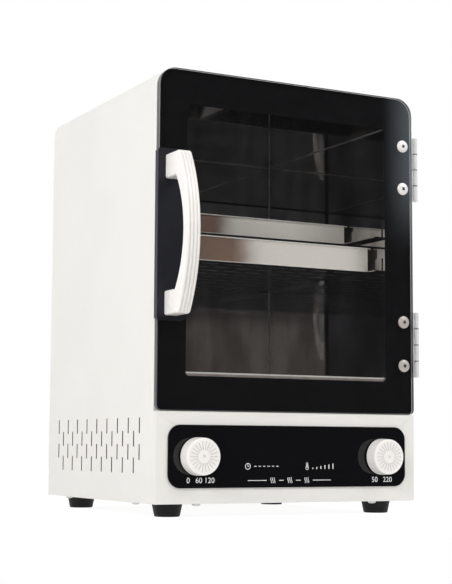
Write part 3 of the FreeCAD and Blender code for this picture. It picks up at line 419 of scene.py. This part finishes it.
cream = plain("cream moulding", cream_colour, 12 * MM, 0.05, roughness=0.5)
bay_black = plain("black moulding", bay_black_colour, 5 * MM, 0.2, roughness=0.45)
plated = plain("zinc plated steel", plated_colour, 2 * MM, 0.08, metallic=1.0, roughness=0.33)
for cream_node in ("timer_body", "thermostat_body", "terminal_block"):
    dress(cream_node, cream, 0.3 * MM)
for shaft_node in ("timer_shaft", "thermostat_shaft", "hinge_pins"):
    dress(shaft_node, plated)
dress("thermal_cutout", bay_black)
dress("catch_magnets", bay_black, 0.3 * MM)

# Mains inlet: a black moulding let into the back panel. Its three blades are part of the same
# solid, so they have the moulding's black too.
dress("mains_inlet", bay_black, 0.2 * MM)

# Door glass: clear toughened glass, 4 mm thick, its edge ground and chamfered. The border is
# black enamel printed on its back, so it has the glass's gloss and none of its own.
glass_tint = (0.915, 0.915, 0.91)
glass_edge_colour = (0.058, 0.063, 0.061)
glass_lit_colour = (0.17, 0.18, 0.185)
enamel_colour = (0.0058, 0.0058, 0.0063)
glass_index = 1.5
rim_reach = 1.5 * MM
print_clearance = 0.02 * MM


def door_glass_finish():
    finish = Finish("door glass", metallic=1.0, roughness=0.0)
    finish.give("Base Color", (1.0, 1.0, 1.0))
    fresnel = finish.node("ShaderNodeFresnel", None, {"IOR": glass_index})
    inside = finish.node("ShaderNodeNewGeometry", output="Backfacing")
    clear = finish.node("ShaderNodeBsdfTransparent", None, {"Color": glass_tint})
    gloss = Signal(finish, finish.shader.outputs[0])
    finish.surface(finish.layer(fresnel * (1 - inside), clear, gloss))
    return finish


def dress_glass():
    """The flat faces are clear; the chamfer and the rim are a ground edge."""
    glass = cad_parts["door_glass"]
    edge = plain("ground glass edge", glass_edge_colour, 30 * MM, 0.15, roughness=0.22)
    clear = door_glass_finish()
    lit_edge = plain("lit glass edge", glass_lit_colour, 30 * MM, 0.1, roughness=0.25)
    glass.data.materials.clear()
    for finish in (clear, edge, lit_edge):
        glass.data.materials.append(finish.material)
    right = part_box("door_glass")[1].x
    for face in glass.data.polygons:
        flat = abs(face.normal.y) > 0.99
        rim = 2 if face.center.x > right - rim_reach else 1
        face.material_index = 0 if flat else rim
        if flat:
            face.use_smooth = False


dress_glass()
enamel = plain("black enamel", enamel_colour, 14 * MM, 0.2, roughness=0.5)
enamel.give("Specular IOR Level", 0.0)
print_layer = dress("door_border", enamel).modifiers.new("print clear of the glass", "DISPLACE")
print_layer.mid_level = 0.0
print_layer.strength = -print_clearance

# Door seal: grey silicone strip round the chamber's mouth. The printed border hides it while the
# door is shut.
silicone_colour = (0.28, 0.27, 0.26)

dress("door_seal", plain("silicone rubber", silicone_colour, 3 * MM, roughness=0.6), 0.4 * MM)

# Hinges: two steel butt hinges with a satin nickel finish, their leaves folded round a pin. Dark
# lines part the four knuckles: painted shade in the gaps, and some grease.
nickel_colour = (0.91, 0.91, 0.90)
knuckle_shade_and_grease = (0.10, 0.10, 0.10)
knuckles = 4
hinge_height = 63.5 * MM
seam_half = 0.5 * MM
knuckle_width = 6.3 * MM


def satin_nickel():
    finish = Finish("satin nickel", metallic=0.3)
    low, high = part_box("hinge_cabinet_leaves")
    x, y, z = finish.axes()
    brush = finish.noise(0.5 * MM, 2.0, (1.0, 1.0, 0.05))
    sheet = finish.blend(brush, shade(nickel_colour, 0.985), shade(nickel_colour, 1.01))
    rises = [index * hinge_height / knuckles for index in range(1, knuckles)]
    levels = [low.z + rise for rise in rises] + [high.z - rise for rise in rises]
    first, *others = [(z - level).maths("ABSOLUTE") < seam_half for level in levels]
    painted_line = sum(others, first) * (x > high.x - knuckle_width)
    # painted shade and grease at the gaps between the knuckles
    finish.give("Base Color", finish.blend(painted_line.maths("MINIMUM", 1.0), sheet, knuckle_shade_and_grease))
    finish.give("Roughness", brush.ramp(0.3, 0.7, 0.22, 0.34))
    return finish


nickel = satin_nickel()
for leaf_node in ("hinge_cabinet_leaves", "hinge_door_leaves"):
    dress(leaf_node, nickel, 0.25 * MM)

# Screws: every head that shows has a cross recess. The door's screws are wide truss heads, the
# rest are pan heads. Each is turned on the spot of its CAD solid and rides with it.
recess_share = 0.40
recess_width_share = 0.17
recess_depth_share = 0.45
recess_tip_length = 0.45
recess_tip_width = 0.6
recess_overshoot = 1.4
recess_colour = (0.10, 0.085, 0.075)
# painted reflection: the upper screws are brighter than the lower
upper_screw_reflection = (0.94, 0.91, 0.89)
lower_screw_reflection = (0.52, 0.47, 0.44)
turn_steps = 40
shank_steps = 16
shank_radius = 2.0 * MM
first_turn = 0.35
next_turn = 1.1
recess_finish = plain("shaded recess", recess_colour, 1 * MM, 0.2, metallic=0.3, roughness=0.5)


def solid_boxes(node):
    """Low and high corners of each separate solid in a CAD node, in order of place."""
    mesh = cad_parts[node].data
    shape = bmesh.new()
    shape.from_mesh(mesh)
    bmesh.ops.remove_doubles(shape, verts=shape.verts, dist=weld_gap)
    unseen = set(shape.verts)
    boxes = []
    while unseen:
        stack = [unseen.pop()]
        low = stack[0].co.copy()
        high = stack[0].co.copy()
        while stack:
            corner = stack.pop()
            for axis in range(3):
                low[axis] = min(low[axis], corner.co[axis])
                high[axis] = max(high[axis], corner.co[axis])
            for edge in corner.link_edges:
                other = edge.other_vert(corner)
                if other in unseen:
                    unseen.remove(other)
                    stack.append(other)
        boxes.append((low, high))
    shape.free()
    return sorted(boxes, key=lambda box: tuple(box[0]))


def turned(shape, outline, steps):
    """Revolves an outline of radii and heights, whose last point lies on the axis, about z."""
    rings = []
    for radius, height in outline[:-1]:
        angles = [2 * math.pi * step / steps for step in range(steps)]
        rings.append([
            shape.verts.new((radius * math.cos(angle), radius * math.sin(angle), height)) for angle in angles
        ])
    tip = shape.verts.new((0.0, 0.0, outline[-1][1]))
    for lower, upper in zip(rings, rings[1:]):
        for step in range(steps):
            following = (step + 1) % steps
            shape.faces.new((lower[step], lower[following], upper[following], upper[step]))
    for step in range(steps):
        shape.faces.new((rings[-1][step], rings[-1][(step + 1) % steps], tip))
    shape.faces.new(list(reversed(rings[0])))
    bmesh.ops.recalc_face_normals(shape, faces=shape.faces)


def domed_head(radius, height, rim):
    """Outline of a head: a short upright rim under a flattened dome."""
    steps = 7
    outline = [(radius, 0.0), (radius, rim)]
    for step in range(1, steps):
        angle = math.pi / 2 * step / steps
        outline.append((radius * math.cos(angle) ** 0.8, rim + (height - rim) * math.sin(angle) ** 0.7))
    return outline + [(0.0, height)]


def cross_cutter(radius, height):
    """Two crossed wedges that narrow towards their tip."""
    half = radius * recess_share
    width = radius * recess_width_share
    shape = bmesh.new()
    for turn in (0.0, math.pi / 2):
        made = bmesh.ops.create_cube(shape, size=1.0)["verts"]
        for corner in made:
            deep = corner.co.z < 0
            corner.co = Vector((
                math.copysign(half * (recess_tip_length if deep else 1.0), corner.co.x),
                math.copysign(width * (recess_tip_width if deep else 1.0), corner.co.y),
                height * (1 - recess_depth_share) if deep else height * recess_overshoot,
            ))
        bmesh.ops.rotate(shape, verts=made, cent=(0, 0, 0), matrix=Matrix.Rotation(turn, 3, "Z"))
    mesh = bpy.data.meshes.new("recess")
    shape.to_mesh(mesh)
    shape.free()
    return bpy.data.objects.new("recess", mesh)


def screw_mesh(radius, height, rim, reach):
    """Head with a cross recess over a plain shank, axis along z, seat at z = 0."""
    shape = bmesh.new()
    turned(shape, domed_head(radius, height, rim), turn_steps)
    mesh = bpy.data.meshes.new("head")
    shape.to_mesh(mesh)
    shape.free()
    head = bpy.data.objects.new("head", mesh)
    cutter = cross_cutter(radius, height)
    for made in (head, cutter):
        bpy.context.scene.collection.objects.link(made)
    cut = head.modifiers.new("recess", "BOOLEAN")
    cut.object = cutter
    cut.solver = "EXACT"
    cut.use_self = True
    bpy.context.view_layer.update()
    carved = bpy.data.meshes.new_from_object(head.evaluated_get(bpy.context.evaluated_depsgraph_get()))
    for face in carved.polygons:
        inner = face.center.xy.length < radius * recess_share and face.center.z < height * 0.95
        face.material_index = 1 if inner and face.center.z > 0 else 0
    for made in (head, cutter):
        bpy.data.objects.remove(made)
    shape = bmesh.new()
    shape.from_mesh(carved)
    body = bmesh.new()
    turned(body, [(shank_radius, 0.0), (shank_radius, -reach), (0.0, -reach)], shank_steps)
    body.to_mesh(carved)
    body.free()
    shape.from_mesh(carved)
    shape.to_mesh(carved)
    shape.free()
    return carved


def screws(node, body, finish, heading, height, rim):
    """Replaces a CAD node's screws by recessed ones whose heads face the heading."""
    facing = Vector(heading)
    upright = Vector((0, 0, 1)).rotation_difference(facing).to_matrix().to_4x4()
    axis = max(range(3), key=lambda number: abs(facing[number]))
    across = (axis + 1) % 3
    boxes = solid_boxes(node)
    low, high = boxes[0]
    radius = (high[across] - low[across]) / 2
    reach = high[axis] - low[axis] - height
    pattern = screw_mesh(radius, height, rim, reach)
    shape = bmesh.new()
    for index, (low, high) in enumerate(boxes):
        seat = (low + high) / 2
        seat[axis] = (high if facing[axis] > 0 else low)[axis] - facing[axis] * height
        turn = Matrix.Rotation(first_turn + index * next_turn, 4, "Z")
        placed = pattern.copy()
        placed.transform(Matrix.Translation(seat) @ upright @ turn)
        shape.from_mesh(placed)
        bpy.data.meshes.remove(placed)
    mesh = bpy.data.meshes.new(f"{node}_made")
    for face in shape.faces:
        face.smooth = True
    shape.to_mesh(mesh)
    shape.free()
    mesh.set_sharp_from_angle(angle=math.radians(40))
    mesh.materials.append(finish.material)
    mesh.materials.append(recess_finish.material)
    piece = bpy.data.objects.new(f"{node}_made", mesh)
    bpy.context.scene.collection.objects.link(piece)
    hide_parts(node)
    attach(piece, body)


def bright_nickel():
    """Bright on the upper pair of screws, darker on the lower pair: a painted reflection."""
    finish = Finish("bright nickel", metallic=0.2, roughness=0.3)
    low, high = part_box("door_glass")
    x, y, z = finish.axes()
    upper = z > (low.z + high.z) / 2
    finish.give("Base Color", finish.blend(upper, lower_screw_reflection, upper_screw_reflection))
    return finish


screws("door_screws", "door", bright_nickel(), (0, -1, 0), 2.4 * MM, 0.7 * MM)
screws("back_screws", "cabinet", plated, (0, 1, 0), 2.2 * MM, 0.8 * MM)
screws("base_screws", "cabinet", plated, (0, 0, -1), 2.2 * MM, 0.8 * MM)
screws("foot_screws", "cabinet", plated, (0, 0, -1), 2.2 * MM, 0.8 * MM)
screws("handle_screws", "door", plated, (0, 1, 0), 1.5 * MM, 0.6 * MM)
for flush_node in ("hinge_frame_screws", "control_screws", "inlet_screws"):
    dress(flush_node, plated)

# Handle: one white moulding, a bow with three flutes along its grip, screwed through the glass.
# Painted shade darkens the flutes and corners, the more closed in the darker.
moulding_colour = (0.90, 0.875, 0.85)
crease_shade_reach = 1.6 * MM


def white_moulding():
    finish = Finish("white moulding", roughness=0.28)
    cloud = finish.noise(35 * MM, 2.0).ramp(0.3, 0.7)
    white = finish.blend(cloud, shade(moulding_colour, 0.995), shade(moulding_colour, 1.005))
    values = {"Distance": crease_shade_reach}
    open_share = finish.node("ShaderNodeAmbientOcclusion", {"samples": 8}, values, output=1)
    # painted shade in creases, from how open each point is
    crease_shade = open_share.ramp(0.35, 0.95, 1.0, 0.0)
    finish.give("Base Color", finish.blend(crease_shade, white, shade(moulding_colour, 0.72)))
    finish.give("Roughness", cloud.ramp(0.0, 1.0, 0.25, 0.31))
    return finish


moulding = white_moulding()
dress("door_handle", moulding)

# Handle plate: a strip of black-painted sheet folded round the glass. It is satin with a blue
# cast, so it stands out from the gloss border.
plate_colour = (0.0065, 0.0065, 0.0105)
satin = plain("satin black plate", plate_colour, 10 * MM, 0.1, roughness=0.35)
satin.give("Specular IOR Level", 0.35)
dress("handle_plate", satin, 0.25 * MM)

# Control fascia: gloss black acrylic sheet stuck to the panel, printed in white with plain scale
# numbers under the knobs and simple signs: a clock, a thermometer and rising warmth.
acrylic_colour = (0.0012, 0.0012, 0.0015)
print_colour = (0.88, 0.88, 0.88)
print_lift = 0.03 * MM
print_depth = 0.04 * MM


def acrylic_finish():
    finish = Finish("gloss black acrylic", roughness=0.05)
    haze = finish.noise(25 * MM, 3.0)
    finish.give("Base Color", finish.blend(haze, acrylic_colour, shade(acrylic_colour, 1.8)))
    finish.give("Roughness", haze.ramp(0.3, 0.7, 0.035, 0.08))
    return finish


dress("control_fascia", acrylic_finish(), 0.2 * MM)
ink = plain("white ink", print_colour, 4 * MM, 0.04, roughness=0.5)
fascia_low, fascia_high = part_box("control_fascia")
fascia_middle_x = (fascia_low.x + fascia_high.x) / 2
fascia_face = fascia_low.y


def ink_piece(name, shape):
    """Print that faces the front, from a flat shape."""
    mesh = bpy.data.meshes.new(name)
    for face in shape.faces:
        if face.normal.y > 0:
            face.normal_flip()
    shape.to_mesh(mesh)
    shape.free()
    mesh.materials.append(ink.material)
    piece = bpy.data.objects.new(name, mesh)
    bpy.context.scene.collection.objects.link(piece)
    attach(piece, "cabinet")


def sign_point(x, z):
    return (fascia_middle_x + x * MM, fascia_face - print_lift, fascia_low.z + z * MM)


def stroke(shape, points, width):
    """A drawn line of one width through points in millimetres."""
    sides = []
    for index, (x, z) in enumerate(points):
        before = points[max(index - 1, 0)]
        after = points[min(index + 1, len(points) - 1)]
        along = Vector((after[0] - before[0], after[1] - before[1]))
        along.normalize()
        across = Vector((-along.y, along.x)) * width / 2
        sides.append((
            shape.verts.new(sign_point(x + across.x, z + across.y)),
            shape.verts.new(sign_point(x - across.x, z - across.y)),
        ))
    for (left, right), (next_left, next_right) in zip(sides, sides[1:]):
        shape.faces.new((left, right, next_right, next_left))


def circle_points(x, z, radius, start=0.0, end=360.0, steps=28):
    angles = [math.radians(start + (end - start) * step / steps) for step in range(steps + 1)]
    return [(x + radius * math.cos(angle), z + radius * math.sin(angle)) for angle in angles]


def clock_sign(shape, x, z, radius, width):
    stroke(shape, circle_points(x, z, radius), width)
    stroke(shape, [(x, z), (x, z + radius * 0.62)], width)
    stroke(shape, [(x, z), (x + radius * 0.5, z)], width)


def thermometer_sign(shape, x, z, height, width):
    bulb = height * 0.24
    tube = height * 0.12
    low = z - height / 2 + bulb
    high = z + height / 2 - tube
    opening = math.degrees(math.asin(tube / bulb))
    stroke(shape, circle_points(x, low, bulb, 90 + opening, 450 - opening), width)
    neck = low + bulb * math.cos(math.radians(opening))
    stroke(shape, [(x - tube, neck), (x - tube, high)], width)
    stroke(shape, [(x + tube, neck), (x + tube, high)], width)
    stroke(shape, circle_points(x, high, tube, 0, 180, 10), width)
    stroke(shape, [(x, low), (x, high - tube)], width * 1.1)


def warmth_sign(shape, x, z, height, width):
    """Three upright waves side by side."""
    for side in (-1, 0, 1):
        points = []
        for step in range(13):
            share = step / 12
            points.append((x + side * height * 0.36 + math.sin(share * 2 * math.pi) * height * 0.09,
                           z - height / 2 + share * height))
        stroke(shape, points, width)


def fascia_signs():
    shape = bmesh.new()
    line = 0.55
    middle = 19.2
    low = 6.4
    clock_sign(shape, -46.0, middle, 2.6, line)
    for step in range(6):
        stroke(shape, [(-39.5 + step * 4.6, middle), (-37.0 + step * 4.6, middle)], line)
    thermometer_sign(shape, 16.5, middle, 6.2, line * 0.9)
    for step in range(6):
        tall = 1.2 + step * 0.75
        x = 22.5 + step * 4.4
        stroke(shape, [(x, middle - 2.6), (x, middle - 2.6 + tall)], line * 1.6)
    for place in (-20.0, -2.0, 16.0):
        warmth_sign(shape, place, low, 5.0, line)
    for start, end in ((-46.0, -26.5), (-13.5, -8.5), (4.5, 9.5), (22.5, 42.0)):
        stroke(shape, [(start, low), (end, low)], line)
    ink_piece("fascia_signs", shape)


def number_row(name, x, z, numbers, size, pitch):
    """Plain numbers set side by side and turned to face the front."""
    for index, number in enumerate(numbers):
        text = bpy.data.curves.new(f"{name}_{index}", "FONT")
        text.body = number
        text.size = size * MM
        text.align_x = "CENTER"
        text.align_y = "CENTER"
        text.extrude = print_depth / 2
        text.materials.append(ink.material)
        piece = bpy.data.objects.new(f"{name}_{index}", text)
        bpy.context.scene.collection.objects.link(piece)
        offset = (index - (len(numbers) - 1) / 2) * pitch
        place = Matrix.Translation(sign_point(x + offset, z))
        piece.matrix_world = place @ Matrix.Rotation(math.pi / 2, 4, "X")
        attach(piece, "cabinet")


fascia_signs()
number_row("timer_number", -95.5, 6.6, ("0", "60", "120"), 6.9, 10.6)
number_row("thermostat_number", 98.2, 6.3, ("50", "220"), 6.9, 14.5)

# Knobs: white mouldings with rays cut in the face and a moulded dimple in the middle, of the same
# plastic as the handle.
# the handle's finish also paints shade into the rays and the dimple
for knob_node in ("timer_knob", "thermostat_knob"):
    dress(knob_node, moulding, 0.12 * MM)

# Feet: four tapered feet of moulded black rubber, matt, with a faint bloom and a very fine
# moulding texture.
rubber_colour = (0.0045, 0.0045, 0.0052)
rubber_grain = 0.5 * MM
rubber_depth = 0.02 * MM


def foot_rubber():
    finish = Finish("foot rubber", roughness=0.55)
    finish.give("Specular IOR Level", 0.25)
    bloom = finish.noise(5 * MM, 3.0).ramp(0.35, 0.75)
    finish.give("Base Color", finish.blend(bloom, rubber_colour, shade(rubber_colour, 1.9)))
    finish.bump(finish.noise(rubber_grain), rubber_depth, 0.6)
    return finish


rubber = foot_rubber()
for foot_node in ("foot_front_left", "foot_front_right", "foot_rear_left", "foot_rear_right"):
    dress(foot_node, rubber, 0.3 * MM)

# Studio: a pale floor in a pale room and four soft lamps. In front of the object is the darker
# half of the room with one tall soft box, which is what its glass and steel reflect.
room_strength = 0.60
room_dark = (0.078, 0.077, 0.078)
room_low = (0.235, 0.212, 0.195)
room_right = (0.104, 0.101, 0.112)
soft_box = (1.95, 2.15, 2.35)
soft_box_left = (0.672, 0.712)
soft_box_right = (1.15, 1.3)
soft_box_foot = (0.130, 0.190)
low_band_top = (0.078, 0.094)
low_band_foot = (-0.02, 0.0)
floor_reach = ((-2.0, -0.42), (2.0, 2.6))
floor_drop = 0.02 * MM
floor_colour = (0.92, 0.92, 0.915)
floor_glow = 1.16
floor_share = 0.76
room_light = (1.0, 0.995, 0.985)
white = (1.0, 1.0, 1.0)
lamp_aim = Vector((0, 0, 0.2))


def studio_room():
    world = bpy.data.worlds.new("studio")
    bpy.context.scene.world = world
    room = Web(world)
    x, y, z = room.axes("Generated")
    slope = x / (y * -1).maths("MAXIMUM", 0.05)
    lit = slope.ramp(*soft_box_left) * z.ramp(*soft_box_foot) * slope.ramp(*soft_box_right, 1.0, 0.0)
    raised = z.ramp(*low_band_top) + z.ramp(*low_band_foot, 1.0, 0.0)
    front = room.blend(raised, room_low, room_dark)
    front = room.blend(x > 0.0, front, room_right)
    front = room.blend(lit, front, soft_box)
    seen = room.blend(y.ramp(-0.1, 0.1), front, white)
    light = room.node("ShaderNodeBackground", None, {"Color": room_light, "Strength": room_strength})
    mirrored = room.node("ShaderNodeBackground", None, {"Color": seen, "Strength": 1.0})
    plain_white = room.node("ShaderNodeBackground", None, {"Color": white, "Strength": 1.0})
    shown = room.layer(room.ray("Is Glossy Ray"), light, mirrored)
    shown = room.layer(room.ray("Is Camera Ray", "Is Transmission Ray"), shown, plain_white)
    room.feed(room.tree.nodes["World Output"].inputs["Surface"], shown)


def studio_floor():
    (left, near), (right, far) = floor_reach
    mesh = bpy.data.meshes.new("floor")
    corners = [(left, near), (right, near), (right, far), (left, far)]
    mesh.from_pydata([(x, y, -floor_drop) for x, y in corners], [], [(0, 1, 2, 3)])
    floor = bpy.data.objects.new("floor", mesh)
    bpy.context.scene.collection.objects.link(floor)
    finish = Finish("studio floor", roughness=0.9)
    finish.give("Base Color", floor_colour)
    finish.give("Specular IOR Level", 0.0)
    glow = finish.node("ShaderNodeEmission", None, {"Color": white, "Strength": floor_glow})
    seen = finish.ray("Is Camera Ray", "Is Glossy Ray", "Is Transmission Ray") * floor_share
    finish.surface(finish.layer(seen, Signal(finish, finish.shader.outputs[0]), glow))
    mesh.materials.append(finish.material)


def soft_lamp(name, place, size, power):
    light = bpy.data.lights.new(name, "AREA")
    light.shape = "RECTANGLE"
    light.size, light.size_y = size
    light.energy = power
    lamp = bpy.data.objects.new(name, light)
    lamp.location = place
    aim = lamp_aim - Vector(place)
    lamp.rotation_euler = aim.to_track_quat("-Z", "Y").to_euler()
    bpy.context.scene.collection.objects.link(lamp)


studio_room()
studio_floor()
soft_lamp("left lamp", (-1.7, -0.95, 1.1), (1.0, 1.0), 20.0)
soft_lamp("top lamp", (0.1, 0.2, 2.2), (1.4, 1.4), 1.5)
soft_lamp("back lamp", (1.6, 1.2, 1.3), (1.0, 1.0), 16.0)
soft_lamp("front lamp", (1.0, -1.6, 1.7), (0.8, 0.8), 14.5)

# Camera: on the object's left and well below its middle, looking slightly up, where the fit to
# the photograph puts it. Its focal length is in pixels of the picture's width.
camera_place = (-0.67328, -1.25337, 0.06443)
camera_turn = math.radians(27.692)
camera_tilt = math.radians(6.108)
camera_roll = math.radians(0.317)
picture_width = 452
focal_pixels = 1427.9
sensor_width = 36.0

lens = bpy.data.cameras.new("camera")
lens.sensor_fit = "HORIZONTAL"
lens.sensor_width = sensor_width
lens.lens = focal_pixels * sensor_width / picture_width
camera = bpy.data.objects.new("camera", lens)
camera.matrix_world = (
    Matrix.Translation(camera_place)
    @ Matrix.Rotation(-camera_turn, 4, "Z")
    @ Matrix.Rotation(math.pi / 2 + camera_tilt, 4, "X")
    @ Matrix.Rotation(camera_roll, 4, "Z")
)
bpy.context.scene.collection.objects.link(camera)
bpy.context.scene.camera = camera
bpy.context.scene.view_settings.view_transform = "Standard"
